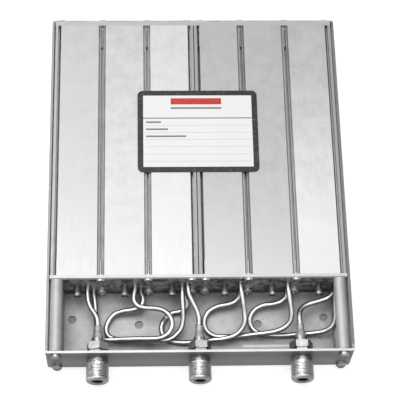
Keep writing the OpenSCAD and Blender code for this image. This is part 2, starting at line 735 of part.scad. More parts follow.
case_pan();
cavity_block(-1);  // cavity_block_left
cavity_block(1);  // cavity_block_right
mid_plate();
rear_plate();
rating_plate();
mid_plate_screws();
rear_screws();
corner_screws();
corner_spacers();
jack(jack_x[0]);  // jack_left
jack(jack_x[1]);  // jack_centre
jack(jack_x[2]);  // jack_right
jack_contacts();
jack_insulators();
jack_nuts();
clamp_nuts();
cable_sleeves();
tuning_bushes();
lock_nuts();
for (k = [1 : 2 * cells]) {
    resonator(k);
    coupling_loop(k);
    tuning_screw(k);
}
for (i = [0 : len(cable_names) - 1])
    cable(i);
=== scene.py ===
import json
import math
import bmesh
import bpy
from mathutils import Matrix, Vector


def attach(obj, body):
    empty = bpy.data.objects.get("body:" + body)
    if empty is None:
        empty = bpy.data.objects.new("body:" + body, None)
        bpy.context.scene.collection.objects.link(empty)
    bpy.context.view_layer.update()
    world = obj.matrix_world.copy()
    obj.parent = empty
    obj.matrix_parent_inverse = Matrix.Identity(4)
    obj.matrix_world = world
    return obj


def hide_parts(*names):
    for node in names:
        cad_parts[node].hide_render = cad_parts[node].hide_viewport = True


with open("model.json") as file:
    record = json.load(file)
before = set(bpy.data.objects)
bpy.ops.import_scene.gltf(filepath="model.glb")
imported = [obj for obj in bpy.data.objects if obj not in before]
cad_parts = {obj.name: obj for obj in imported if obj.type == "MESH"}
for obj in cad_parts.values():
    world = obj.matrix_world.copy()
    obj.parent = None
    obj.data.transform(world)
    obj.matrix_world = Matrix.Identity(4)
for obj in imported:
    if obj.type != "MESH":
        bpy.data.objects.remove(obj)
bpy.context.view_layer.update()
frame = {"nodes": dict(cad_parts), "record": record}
nodes = frame["nodes"]
mm = 0.001
print("frame loaded:", len(nodes), "nodes")

# Camera at the photograph's viewing angle, in metres from the centre of the pan's underside
cameraView = {
    "place": (-0.03846, -0.47661, 1.01079),
    "right": (0.9992867, -0.0207805, 0.0315328),
    "up": (0.0054325, 0.9054055, 0.4245131),
    "back": (-0.0373716, -0.4240390, 0.9048725),
    "lens": 136.84,
    "reach": 20.0,
}

studio = {
    "worldLevel": 0.30,
    "softbox": {"place": (-0.40, 0.30, 1.20), "size": 0.8, "power": 7.5},
    "top": {"place": (0.10, -0.25, 1.4), "size": 1.2, "power": 8.0},
    "floorSize": 8.0,
    "floorUp": 0.0002,
    "floorColour": (0.60, 0.60, 0.60, 1),
    "floorRough": 0.9,
    "floorGlow": 0.72,
    "underPan": (0.104, 0.130),
    # Painted shadow on the floor under the pan
    "underPanShadow": (0.34, 0.34, 0.34, 1),
}

# Sizes that the routes are counted from, in millimetres. Places 1 to 6 are cavities, and
# 0, -1 and -2 are the jacks from the left
bay = {
    "placeX": {1: -84.9, 2: -51.7, 3: -18.5, 4: 18.5, 5: 51.7, 6: 84.9,
               0: -70.4, -1: 0.0, -2: 70.4},
    "midY": -76.95,
    "blockY": -74.75,
    "floorZ": 1.6,
    "sleeveY": -116.35,
    "mouthY": -107.35,
    "jackZ": 16.6,
    "lead": 2.0,
}
cablePorts = {
    "portA": (7.3, 15), "portB": (11.2, 19), "portC": (11.2, 7.6), "portC3": (8.4, 7.6),
    "portC6": (11.4, 13.4),
}
# Cavity and port at the start, cavity and port or jack at the end, then the points between:
# the place each is counted from, across, away from the plate or the jack's sleeve, and up
cableRoutes = {
    "left_jack_cable": ((1, "portA"), (0, 0), [
        (1, 7.3, 6, 15), (1, 7.8, 11, 15), (1, 9.6, 16.5, 15), (0, -2.3, 9.9, 15),
        (0, -0.5, 5.9, 15),
    ]),
    "first_link_cable": ((1, "portC"), (2, "portA"), [
        (1, 12, 8, 7.2), (1, 12.7, 17, 6.4), (1, 13.5, 24.5, 5.6), (1, 13.9, 29.6, 5.2),
        (1, 15.3, 33.7, 5), (1, 18.6, 36.3, 5.2), (1, 23, 37, 6), (2, -4, 37.2, 7.4),
        (2, 10, 37.3, 8.6), (2, 18.5, 37.6, 9.4), (3, -7.5, 36.8, 9.7), (3, -2.5, 33.3, 9.8),
        (3, -0.1, 27, 10.5), (3, -1.7, 21.6, 11.2), (3, -6.2, 17.6, 12.2), (3, -12, 16.4, 13.2),
        (2, 14, 16.2, 14), (2, 9.4, 15, 14.6), (2, 6.6, 11.5, 15), (2, 6.6, 6.5, 15),
    ]),
    "second_link_cable": ((2, "portC"), (3, "portA"), [
        (2, 12.8, 7, 7.7), (2, 11.6, 11.7, 7.3), (2, 7.6, 14.1, 6.6), (2, -1.3, 15.4, 5.2),
        (2, -7.3, 17.2, 4), (2, -11.5, 22, 3), (2, -13.3, 27.6, 2.2), (2, -11.8, 32.3, 2),
        (2, -6, 35.2, 2.1), (2, 5.7, 35.8, 3.5), (2, 18.7, 36.6, 5.2), (3, -6.5, 37.4, 5.8),
        (3, -1.6, 36.6, 5.9), (3, 2.6, 33.8, 6.4), (3, 5.8, 30.2, 7.5), (3, 7.5, 24.5, 9.8),
        (3, 7.6, 18.5, 12.2), (3, 7.3, 11.6, 14.4), (3, 7.3, 6, 15),
    ]),
    "centre_jack_cable": ((3, "portB"), (0, 1), [
        (3, 12, 8.6, 18.7), (3, 14.5, 14, 17.4), (-1, -1.5, 11.4, 16), (-1, -0.1, 6.4, 15.1),
    ]),
    "third_link_cable": ((3, "portC3"), (4, "portB"), [
        (3, 9, 6, 7.2), (3, 10.6, 9.8, 6), (3, 9.2, 13.4, 4.6), (3, 5.2, 15.3, 3.2),
        (3, 0.2, 16, 2.4), (3, -3.8, 19, 2), (3, -6.8, 23.6, 2), (3, -7.5, 28.2, 2),
        (3, -6.1, 32.6, 2), (3, -2, 36.2, 2), (3, 4.5, 37.9, 2), (3, 13.5, 38, 2.1),
        (4, -14.5, 37.6, 3.2), (4, -8.5, 37.2, 4.7), (4, -0.5, 36.7, 5.9), (4, 6.5, 34.9, 7.2),
        (4, 11.3, 31.3, 9.2), (4, 13.7, 25.9, 11.5), (4, 13.4, 19.7, 14), (4, 12.6, 13.8, 17),
        (4, 11.6, 7, 19),
    ]),
    "fourth_link_cable": ((4, "portC"), (5, "portB"), [
        (4, 10.2, 6.6, 7.4), (4, 7, 9.8, 6.8), (4, 2.2, 11.2, 6), (4, -5.5, 12.6, 5),
        (4, -11, 15.7, 4), (4, -14.1, 20.7, 3), (4, -14.2, 25.7, 2.3), (4, -11.5, 30.7, 2),
        (4, -7, 33.3, 2), (4, -0.5, 33.9, 2.1), (4, 6.5, 34.2, 3), (4, 13.5, 34.1, 4.4),
        (5, -11.7, 33.5, 5.7), (5, -3.7, 32.9, 6.5), (5, 3.3, 31.9, 7.6), (5, 8.8, 29.7, 9.3),
        (5, 12.5, 25.9, 11.5), (5, 13.3, 21.2, 13.8), (5, 12.6, 15.2, 16.3), (5, 11.6, 7.5, 19),
    ]),
    "fifth_link_cable": ((5, "portC"), (6, "portB"), [
        (5, 10.2, 6.6, 7.4), (5, 7, 9.6, 6.8), (5, 2.2, 10.9, 6), (5, -6.7, 12.1, 5),
        (5, -11.9, 14.9, 4), (5, -15, 19.7, 3), (5, -15.2, 24.5, 2.4), (5, -13, 28.7, 2),
        (5, -8.2, 31.7, 2), (5, -0.7, 33, 2), (5, 6.8, 33.4, 2), (5, 14.3, 33, 2.1),
        (6, -10.9, 32.7, 2.9), (6, -2.9, 32.5, 4.3), (6, 3.6, 31.9, 6.3), (6, 8.6, 29.3, 9),
        (6, 10.8, 24.7, 11.3), (6, 11, 19.7, 13.8), (6, 11, 13.7, 16.3), (6, 11.1, 7.5, 18.7),
    ]),
    "right_jack_cable": ((6, "portC6"), (0, 2), [
        (6, 10.6, 5.6, 13.4), (6, 7.6, 8.8, 13.1), (6, 2.9, 10.8, 12.6), (6, -3.2, 12.4, 12),
        (6, -8, 13.9, 11.7), (-2, 3.2, 14.6, 12), (-2, 0.7, 11, 13.3), (-2, -0.1, 6.4, 14.7),
    ]),
}


# Node trees, built with short calls

def addNode(tree, kind, settings=None, **values):
    node = tree.nodes.new(kind)
    for name, value in (settings or {}).items():
        setattr(node, name, value)
    for name, value in values.items():
        setInput(tree, node.inputs[int(name[1:])] if name[0] == "_" else node.inputs[name], value)
    return node


def setInput(tree, socket, value):
    if isinstance(value, bpy.types.NodeSocket):
        tree.links.new(value, socket)
    else:
        socket.default_value = value


def mathNode(tree, operation, first, second=0.0, third=0.0, clamp=False):
    node = addNode(tree, "ShaderNodeMath", {"operation": operation, "use_clamp": clamp},
                   _0=first, _1=second, _2=third)
    return node.outputs[0]


def vectorNode(tree, operation, first, second=(0, 0, 0)):
    node = addNode(tree, "ShaderNodeVectorMath", {"operation": operation}, _0=first, _1=second)
    return node.outputs["Value" if operation == "DOT_PRODUCT" else "Vector"]


def mixColour(tree, factor, first, second):
    node = addNode(tree, "ShaderNodeMix", {"data_type": "RGBA"})
    for socket, value in zip((node.inputs[0], node.inputs[6], node.inputs[7]),
                             (factor, first, second)):
        setInput(tree, socket, value)
    return node.outputs[2]


def spread(tree, value, low, high, toLow, toHigh):
    node = addNode(tree, "ShaderNodeMapRange", _0=value, _1=low, _2=high, _3=toLow, _4=toHigh)
    return node.outputs[0]


def newGroup(name, inputs, outputs):
    tree = bpy.data.node_groups.new(name, "ShaderNodeTree")
    for label, kind, value in inputs:
        socket = tree.interface.new_socket(label, in_out="INPUT", socket_type="NodeSocket" + kind)
        socket.default_value = value
    for label, kind in outputs:
        tree.interface.new_socket(label, in_out="OUTPUT", socket_type="NodeSocket" + kind)
    return tree, addNode(tree, "NodeGroupInput"), addNode(tree, "NodeGroupOutput")


# Fine die lines or brushing, cloudy stains and small dark pits of handled bare metal
faceNoise = {
    "lineDetail": 3.0,
    "cloudDetail": 5.0, "cloudRoughness": 0.62, "cloudBend": 0.15, "cloudRange": (0.32, 0.68),
    "pitScale": 420.0, "pitDetail": 2.0, "pitLevel": 0.82, "pitReach": 0.16, "pitBlend": 0.05,
}
metalFace, given, result = newGroup(
    "metalFace",
    [("Vector", "Vector", (0, 0, 0)), ("Grain", "Vector", (900, 900, 900)),
     ("Stain Size", "Float", 0.02), ("Pits", "Float", 0.5)],
    [("Grain", "Float"), ("Stain", "Float"), ("Pit", "Float")])
stretched = vectorNode(metalFace, "MULTIPLY", given.outputs["Vector"], given.outputs["Grain"])
lines = addNode(metalFace, "ShaderNodeTexNoise", Vector=stretched, Scale=1.0,
                Detail=faceNoise["lineDetail"])
cloudScale = mathNode(metalFace, "DIVIDE", 1.0, given.outputs["Stain Size"])
clouds = addNode(metalFace, "ShaderNodeTexNoise", Vector=given.outputs["Vector"],
                 Scale=cloudScale, Detail=faceNoise["cloudDetail"],
                 Roughness=faceNoise["cloudRoughness"], Distortion=faceNoise["cloudBend"])
pits = addNode(metalFace, "ShaderNodeTexNoise", Vector=given.outputs["Vector"],
               Scale=faceNoise["pitScale"], Detail=faceNoise["pitDetail"])
pitEdge = mathNode(metalFace, "SUBTRACT", faceNoise["pitLevel"], mathNode(
    metalFace, "MULTIPLY", given.outputs["Pits"], faceNoise["pitReach"]))
setInput(metalFace, result.inputs["Grain"], lines.outputs["Fac"])
setInput(metalFace, result.inputs["Stain"], spread(
    metalFace, clouds.outputs["Fac"], *faceNoise["cloudRange"], 0.0, 1.0))
setInput(metalFace, result.inputs["Pit"], spread(
    metalFace, pits.outputs["Fac"], pitEdge,
    mathNode(metalFace, "ADD", pitEdge, faceNoise["pitBlend"]), 0.0, 1.0))

# Edges lighter, partly wear and partly a painted highlight, found where a small bevel would turn
# the surface
edgeWearAndHighlight, given, result = newGroup(
    "edgeWearAndHighlight", [("Radius", "Float", 0.0004), ("Strength", "Float", 2.0)], [("Edge", "Float")])
bevel = addNode(edgeWearAndHighlight, "ShaderNodeBevel", {"samples": 4}, Radius=given.outputs["Radius"])
plain = addNode(edgeWearAndHighlight, "ShaderNodeNewGeometry")
turned = vectorNode(edgeWearAndHighlight, "DOT_PRODUCT", bevel.outputs["Normal"], plain.outputs["Normal"])
setInput(edgeWearAndHighlight, result.inputs["Edge"], mathNode(
    edgeWearAndHighlight, "MULTIPLY", mathNode(edgeWearAndHighlight, "SUBTRACT", 1.0, turned),
    given.outputs["Strength"], clamp=True))

# A plain printed bar with rounded corners, in millimetres on the rating plate
printedBar, given, result = newGroup(
    "printedBar",
    [("Vector", "Vector", (0, 0, 0)), ("Centre", "Vector", (0, 0, 0)),
     ("Half Size", "Vector", (1, 1, 0)), ("Corner", "Float", 0.1), ("Softness", "Float", 0.08)],
    [("Mask", "Float")])
offset = vectorNode(printedBar, "ABSOLUTE", vectorNode(
    printedBar, "SUBTRACT", given.outputs["Vector"], given.outputs["Centre"]))
corner = addNode(printedBar, "ShaderNodeCombineXYZ", X=given.outputs["Corner"],
                 Y=given.outputs["Corner"])
beyond = vectorNode(printedBar, "SUBTRACT", offset, vectorNode(
    printedBar, "SUBTRACT", given.outputs["Half Size"], corner.outputs[0]))
flat = vectorNode(printedBar, "MULTIPLY", vectorNode(printedBar, "MAXIMUM", beyond), (1, 1, 0))
far = addNode(printedBar, "ShaderNodeVectorMath", {"operation": "LENGTH"}, _0=flat)
away = mathNode(printedBar, "SUBTRACT", far.outputs["Value"], given.outputs["Corner"])
setInput(printedBar, result.inputs["Mask"], spread(
    printedBar, away, mathNode(printedBar, "MULTIPLY", given.outputs["Softness"], -1.0),
    given.outputs["Softness"], 1.0, 0.0))

# A soft-edged box in millimetres, for a place with painted light or shade, or with a tone of its
# own
zoneBox, given, result = newGroup(
    "zoneBox",
    [("Vector", "Vector", (0, 0, 0)), ("Centre", "Vector", (0, 0, 0)),
     ("Half Size", "Vector", (1, 1, 1)), ("Softness", "Vector", (0.2, 0.2, 0.2))],
    [("Mask", "Float")])
beyond = vectorNode(zoneBox, "SUBTRACT", vectorNode(zoneBox, "ABSOLUTE", vectorNode(
    zoneBox, "SUBTRACT", given.outputs["Vector"], given.outputs["Centre"])),
    given.outputs["Half Size"])
beyond = vectorNode(zoneBox, "DIVIDE", beyond, given.outputs["Softness"])
parts = addNode(zoneBox, "ShaderNodeSeparateXYZ", Vector=beyond)
furthest = mathNode(zoneBox, "MAXIMUM", parts.outputs["X"], mathNode(
    zoneBox, "MAXIMUM", parts.outputs["Y"], parts.outputs["Z"]))
setInput(zoneBox, result.inputs["Mask"], spread(zoneBox, furthest, -1.0, 1.0, 1.0, 0.0))

# Long thin scratches in two directions, few and uneven. Each direction has its turn, and the
# repeat per metre along and across a scratch
scratchLines = {
    "ways": ((0.5, 30.0, 1500.0), (-0.9, 45.0, 1900.0)), "detail": 1.0,
    "level": 0.78, "reach": 0.14, "blend": 0.04,
}
scratches, given, result = newGroup(
    "scratches",
    [("Vector", "Vector", (0, 0, 0)), ("Amount", "Float", 0.5)], [("Mask", "Float")])
strongest = None
for turn, long, thin in scratchLines["ways"]:
    spun = addNode(scratches, "ShaderNodeVectorRotate", {"rotation_type": "Z_AXIS"},
                   Vector=given.outputs["Vector"], Angle=turn)
    pulled = vectorNode(scratches, "MULTIPLY", spun.outputs["Vector"], (long, thin, thin))
    thread = addNode(scratches, "ShaderNodeTexNoise", Vector=pulled, Scale=1.0,
                     Detail=scratchLines["detail"])
    low = mathNode(scratches, "SUBTRACT", scratchLines["level"], mathNode(
        scratches, "MULTIPLY", given.outputs["Amount"], scratchLines["reach"]))
    marks = spread(scratches, thread.outputs["Fac"], low,
                   mathNode(scratches, "ADD", low, scratchLines["blend"]), 0.0, 1.0)
    strongest = marks if strongest is None else mathNode(scratches, "MAXIMUM", strongest, marks)
setInput(scratches, result.inputs["Mask"], strongest)

# Painted light and shade: faces turned towards one side, straight up unless told, are painted
# lighter as if lit, and the faces turned away get a painted shade. Steep and Level are cosines
paintedLitSide, given, result = newGroup(
    "paintedLitSide",
    [("Toward", "Vector", (0, 0, 1)), ("Steep", "Float", 0.55), ("Level", "Float", 0.90)],
    [("Mask", "Float")])
plain = addNode(paintedLitSide, "ShaderNodeNewGeometry")
facing = vectorNode(paintedLitSide, "DOT_PRODUCT", plain.outputs["Normal"], given.outputs["Toward"])
setInput(paintedLitSide, result.inputs["Mask"], spread(
    paintedLitSide, facing, given.outputs["Steep"], given.outputs["Level"], 0.0, 1.0))


def newMaterial(name, metallic, roughness):
    material = bpy.data.materials.new(name)
    material.use_nodes = True
    tree = material.node_tree
    shader = tree.nodes["Principled BSDF"]
    shader.inputs["Metallic"].default_value = metallic
    shader.inputs["Roughness"].default_value = roughness
    return material, tree, shader


def grey(level, warmth=0.0):
    return (level * (1 + warmth), level, level * (1 - warmth), 1)


# A box in millimetres on the object, coloured one grey and fading out over soft. Most are painted
# light or painted shade
def patch(centre, half, soft, level, strength=1.0):
    return {"centre": centre, "half": half, "soft": soft, "colour": grey(level),
            "strength": strength}


# How strongly the layers of every metal show
metalMix = {
    "streakRange": (0.35, 0.65), "mottle": 0.5, "pitStrength": 0.55, "scratchStrength": 0.5,
    "stainShare": 0.35, "grainShare": 0.65, "roughRange": (0.2, 0.8), "bumpDepth": 0.0002,
}


# A bare or plated metal. grain is the repeat of the lines per metre along X, Y and Z
def metalMaterial(name, look):
    material, tree, shader = newMaterial(name, look["metallic"], look["rough"][0])
    place = addNode(tree, "ShaderNodeTexCoord").outputs["Object"]
    face = addNode(tree, "ShaderNodeGroup", {"node_tree": metalFace}, Vector=place,
                   Grain=look["grain"])
    face.inputs["Stain Size"].default_value = look["stainSize"]
    face.inputs["Pits"].default_value = look["pits"]
    streaks = spread(tree, face.outputs["Grain"], *metalMix["streakRange"], 0.0, 1.0)
    streaked = look.get("streaks", 0.0)
    tone = mathNode(tree, "MULTIPLY_ADD", streaks, streaked, mathNode(
        tree, "MULTIPLY", face.outputs["Stain"], 1 - streaked))
    mottle = look.get("mottle", metalMix["mottle"])
    tone = spread(tree, tone, 0.5 - mottle, 0.5 + mottle, 0.0, 1.0)
    colour = mixColour(tree, tone, look["dark"], look["light"])
    colour = mixColour(tree, mathNode(tree, "MULTIPLY", face.outputs["Pit"],
                                      metalMix["pitStrength"]), colour, look["pitColour"])
    if "edge" in look:
        edge = addNode(tree, "ShaderNodeGroup", {"node_tree": edgeWearAndHighlight},
                       Radius=look["edgeRadius"])
        colour = mixColour(tree, edge.outputs["Edge"], colour, look["edge"])
    if "scratched" in look:
        marks = addNode(tree, "ShaderNodeGroup", {"node_tree": scratches}, Vector=place,
                        Amount=look["scratched"])
        colour = mixColour(tree, mathNode(tree, "MULTIPLY", marks.outputs["Mask"],
                                          metalMix["scratchStrength"]), colour,
                           look["scratchColour"])
    inMillimetres = vectorNode(tree, "MULTIPLY", place, (1 / mm, 1 / mm, 1 / mm))
    # Patches of painted light and painted shade, and a few of plain tone
    for lightAndTonePatch in look.get("patches", ()):
        spot = addNode(tree, "ShaderNodeGroup", {"node_tree": zoneBox}, Vector=inMillimetres,
                       Centre=lightAndTonePatch["centre"], Softness=lightAndTonePatch["soft"])
        spot.inputs["Half Size"].default_value = lightAndTonePatch["half"]
        colour = mixColour(tree, mathNode(tree, "MULTIPLY", spot.outputs["Mask"],
                                          lightAndTonePatch["strength"]), colour, lightAndTonePatch["colour"])
    # Painted light and painted shade, by the way each face is turned
    if "steep" in look:
        paintedLit = addNode(tree, "ShaderNodeGroup", {"node_tree": paintedLitSide},
                         Toward=look.get("toward", (0, 0, 1)), Steep=look["paintedLit"][0],
                         Level=look["paintedLit"][1])
        colour = mixColour(tree, paintedLit.outputs["Mask"], look["steep"], colour)
    setInput(tree, shader.inputs["Base Color"], colour)
    mixed = mathNode(tree, "MULTIPLY_ADD", face.outputs["Stain"], metalMix["stainShare"],
                     mathNode(tree, "MULTIPLY", face.outputs["Grain"], metalMix["grainShare"]))
    setInput(tree, shader.inputs["Roughness"], spread(tree, mixed, *metalMix["roughRange"],
                                                      *look["rough"]))
    height = mathNode(tree, "MULTIPLY_ADD", face.outputs["Stain"], look.get("dents", 0.0),
                      face.outputs["Grain"])
    bump = addNode(tree, "ShaderNodeBump", Strength=look["bump"],
                   Distance=metalMix["bumpDepth"], Height=height)
    setInput(tree, shader.inputs["Normal"], bump.outputs["Normal"])
    return material


# What the small steel pieces have in common
smallSteel = {"pitColour": grey(0.16), "grain": (1500, 1500, 1500), "stainSize": 0.003,
              "pits": 0.6, "bump": 0.08, "edge": grey(0.8), "edgeRadius": 0.0002, "dents": 0.6}

# The order of the patches counts: a later one covers an earlier one
metalLooks = {
    "pan_sheet": {
        "dark": grey(0.27, 0.01), "light": grey(0.46, 0.01), "pitColour": grey(0.12),
        "metallic": 0.40, "rough": (0.40, 0.62), "grain": (90, 2600, 2600),
        "stainSize": 0.014, "mottle": 0.42, "pits": 0.7, "bump": 0.10,
        "edge": grey(0.80), "edgeRadius": 0.0004,
        "scratched": 0.5, "scratchColour": grey(0.55),
        "patches": (
            # Painted light and shade on the floor of the bay: light in its middle, shadow across
            # the loops, by the mid plate and by the jacks
            patch((0, -98, 1.6), (92, 9, 0.6), (9, 9, 0.2), 0.62, 0.16),
            patch((0, -90.5, 1.6), (76, 3, 0.6), (10, 3.5, 0.2), 0.10, 0.22),
            patch((22, -80, 1.6), (72, 4.5, 0.6), (12, 5, 0.2), 0.10, 0.5),
            patch((6, -115, 1.6), (66, 4.5, 0.6), (9, 3, 0.2), 0.10, 0.36),
            # Painted shade on the front wall and more on the upper half of it, and on the left
            # side; painted light on the insides of the side walls
            patch((0, -134.5, 16), (110, 5, 16), (1.0,) * 3, 0.14, 0.85),
            patch((0, -134.5, 24), (110, 5, 6), (1, 1, 6), 0.05, 0.7),
            patch((-107, 0, 16), (1.4, 135, 16), (0.3,) * 3, 0.24, 0.7),
            patch((-103.7, 0, 16), (0.6, 129, 15), (0.3,) * 3, 0.95),
            patch((103.7, 0, 16), (0.6, 129, 15), (0.3,) * 3, 0.95),
            # Painted shade on the rims at the left and the right, a painted highlight on the front
            # rim
            patch((-105, 3, 31.6), (1.4, 130, 0.4), (0.2,) * 3, 0.30),
            patch((0, -131, 31.6), (110, 1.2, 0.4), (0.1,) * 3, 0.60),
            patch((105, 3, 31.6), (1.4, 130, 0.4), (0.2,) * 3, 0.17),
            # A painted highlight as a streak on the floor, and painted shade on the walls of its
            # holes
            patch((47.6, -117.2, 1.6), (16, 0.4, 0.8), (0.9,) * 3, 0.85, 0.8),
            patch((0, -100, 0.8), (100, 25, 0.65), (1, 1, 0.1), 0.03))},
    "extrusion": {
        "dark": grey(0.40, 0.004), "light": grey(0.57, 0.006), "pitColour": grey(0.26),
        "metallic": 0.55, "rough": (0.40, 0.60), "grain": (800, 70, 800), "streaks": 0.25,
        "stainSize": 0.009, "pits": 0.5, "bump": 0.06, "edge": grey(0.56), "edgeRadius": 0.0004,
        "patches": (
            # Painted shade on the rear of all tops, the fourth and fifth cavities darker, painted
            # shade on the rear of the sixth, painted light on the front of all tops
            patch((0, 130, 31.6), (110, 60, 2), (1, 60, 1), 0.34, 0.30),
            patch((34, 26, 16), (34, 110, 20), (1, 1, 1), 0.28, 0.46),
            patch((86, 130, 16), (18, 70, 20), (1, 70, 1), 0.30, 0.4),
            patch((0, -75, 31.6), (110, 40, 2), (1, 40, 1), 0.58, 0.45),
            # Third cavity lighter, painted light on the front of the sixth, first cavity darker
            patch((-18.5, 26, 31.6), (16, 110, 2), (1, 1, 1), 0.66, 0.30),
            patch((86, -40, 31.6), (18, 60, 2), (1, 60, 1), 0.72, 0.4),
            patch((-85, 60, 31.6), (15.5, 115, 2), (1, 50, 1), 0.36, 0.30),
            # Lip along the middle darker, painted shade on the lips at the left and the right,
            # then painted light on the outer sides
            patch((0, 26, 31.6), (2.6, 110, 2), (0.2, 1, 1), 0.30),
            patch((-102.1, 26, 31.6), (1.2, 110, 0.5), (0.1, 1, 0.2), 0.35),
            patch((102.1, 26, 31.6), (1.2, 110, 0.5), (0.1, 1, 0.2), 0.29),
            patch((-103.1, 26, 16), (0.3, 105, 15.4), (0.2,) * 3, 0.95),
            patch((103.1, 26, 16), (0.3, 105, 15.4), (0.2,) * 3, 0.95))},
    "plate": {
        # The dark end of these greys is painted shade on the mid plate's face, along with its real
        # stains
        "dark": grey(0.05), "light": grey(0.52), "pitColour": grey(0.04),
        "metallic": 0.40, "rough": (0.34, 0.56), "grain": (80, 2600, 2600),
        "stainSize": 0.006, "mottle": 0.32, "pits": 0.9, "bump": 0.08,
        "edge": grey(0.60), "edgeRadius": 0.0004,
        "patches": (
            # Painted shade at the foot of the mid plate's face and a painted highlight along its
            # top, then the upper edges of both plates
            patch((0, -78, 4), (106, 2, 5), (4, 0.5, 4), 0.004, 0.8),
            patch((0, -77, 30.2), (104, 1, 1.3), (1, 0.5, 0.4), 1.0),
            patch((0, -75.8, 31.6), (110, 1.3, 0.4), (0.1,) * 3, 0.49),
            patch((0, 128.7, 31.6), (110, 1.7, 0.4), (0.1,) * 3, 0.40))},
    "spacer_metal": {
        "dark": grey(0.33), "light": grey(0.42), "pitColour": grey(0.25),
        "metallic": 0.65, "rough": (0.46, 0.60), "grain": (400, 2600, 400),
        "stainSize": 0.012, "pits": 0.3, "bump": 0.05, "edge": grey(0.6), "edgeRadius": 0.0003,
        "patches": (
            # Painted light on the left flanks of the upper tubes
            patch((-104.5, -103.5, 27), (2.5, 28, 6), (2.5, 1, 1), 0.95),
            patch((92.5, -103.5, 27), (2.5, 28, 6), (2.5, 1, 1), 0.95, 0.6))},
    "plated_steel": {
        **smallSteel, "dark": grey(0.40), "light": grey(0.66), "metallic": 0.9,
        # Painted light on the upturned parts of the heads, painted shade on their sides
        "rough": (0.20, 0.40), "steep": grey(0.20), "paintedLit": (0.05, 0.45),
        "patches": (
            # Painted light on the lower heads on the mid plate, painted shade on the shanks that
            # show in the grooves
            patch((0, -79.5, 7), (110, 3, 5), (0.5,) * 3, 1.0),
            patch((0, 26, 25), (110, 99, 6), (0.3,) * 3, 0.24))},
    "nut_steel": {
        **smallSteel, "dark": grey(0.28), "light": grey(0.46), "metallic": 0.9,
        # Painted light on the faces turned up and a little to the left, painted shade on the other
        # faces
        "rough": (0.20, 0.40), "steep": grey(0.25), "paintedLit": (0.55, 0.90),
        "toward": (-0.3, 0, 0.95)},
    "old_steel": {
        **smallSteel, "dark": grey(0.28), "light": grey(0.52), "pitColour": grey(0.12),
        # Painted light on the tops of the heads and bushes, painted shade on their sides
        "metallic": 0.8, "rough": (0.28, 0.48), "edge": grey(0.5), "steep": grey(0.12),
        "paintedLit": (0.30, 0.85)},
    "jack_shell": {
        "dark": grey(0.20), "light": grey(0.84), "pitColour": grey(0.06), "metallic": 0.92,
        "rough": (0.20, 0.42), "grain": (1200, 1200, 1200), "stainSize": 0.0024, "pits": 1.0,
        "bump": 0.16, "dents": 1.2, "edge": grey(0.7), "edgeRadius": 0.0002,
        # Painted highlight on the faces turned up and a little to the left, painted shade on the
        # flanks
        "steep": grey(0.20), "paintedLit": (0.55, 0.90), "toward": (-0.36, 0, 0.93),
        "patches": (
            # Painted shade on the collars behind the nuts, then in the bores
            patch((0, -118.2, 16.6), (110, 2.2, 6), (0.4,) * 3, 0.22, 0.9),
            *(patch((bay["placeX"][jack], -141.1, 16.6), (5.0, 6.6, 5.0), (0.3, 0.1, 0.3),
                    0.03, 0.9) for jack in (0, -1, -2)))},
    "contact_brass": {
        "dark": (0.60, 0.44, 0.20, 1), "light": (0.72, 0.56, 0.28, 1),
        "pitColour": (0.25, 0.16, 0.07, 1), "metallic": 1.0, "rough": (0.2, 0.4),
        "grain": (1500, 1500, 1500), "stainSize": 0.004, "pits": 0.4, "bump": 0.05},
    "sleeve": {
        "dark": grey(0.24), "light": grey(0.50), "pitColour": grey(0.12),
        "metallic": 0.6, "rough": (0.42, 0.60), "grain": (1500, 1500, 1500),
        "stainSize": 0.003, "pits": 0.6, "bump": 0.12, "dents": 1.0,
        "patches": (
            # Painted shade at the mouths of the sleeves
            patch((0, -107.4, 16.6), (110, 0.3, 6), (0.3,) * 3, 0.05),)},
    "resonator_metal": {
        "dark": grey(0.20, 0.01), "light": grey(0.60, 0.01), "pitColour": grey(0.10),
        "metallic": 0.7, "rough": (0.40, 0.58), "grain": (2600, 90, 2600),
        "stainSize": 0.003, "mottle": 0.3, "pits": 0.6, "bump": 0.08, "dents": 0.6,
        "patches": (
            # Painted shade on the shanks and in the ends of the hollow studs
            patch((0, -79.9, 16.6), (110, 3.2, 4), (1, 0.8, 1), 0.05, 0.8),
            patch((0, -84.8, 16.6), (110, 0.2, 1.8), (0.2,) * 3, 0.03))},
    "cable_sheath": {
        "dark": grey(0.40, 0.01), "light": grey(0.60, 0.01), "pitColour": grey(0.15),
        "metallic": 0.9, "rough": (0.24, 0.40), "grain": (700, 700, 700),
        # Painted shade on the sides of the cable turned away from the front and up, so it darkens
        # towards its outlines
        "stainSize": 0.006, "pits": 0.5, "bump": 0.06, "steep": grey(0.06),
        "paintedLit": (0.45, 0.78), "toward": (0, -0.42, 0.91)},
}
materials = {name: metalMaterial(name, look) for name, look in metalLooks.items()}

bead = {"rough": 0.4, "cloudScale": 600.0, "cloudDetail": 2.0,
        "dark": (0.78, 0.75, 0.66, 1), "light": (0.88, 0.86, 0.80, 1)}
beadWhite, tree, shader = newMaterial("bead", 0.0, bead["rough"])
place = addNode(tree, "ShaderNodeTexCoord").outputs["Object"]
milky = addNode(tree, "ShaderNodeTexNoise", Vector=place, Scale=bead["cloudScale"],
                Detail=bead["cloudDetail"])
setInput(tree, shader.inputs["Base Color"], mixColour(
    tree, milky.outputs["Fac"], bead["dark"], bead["light"]))
materials["bead"] = beadWhite

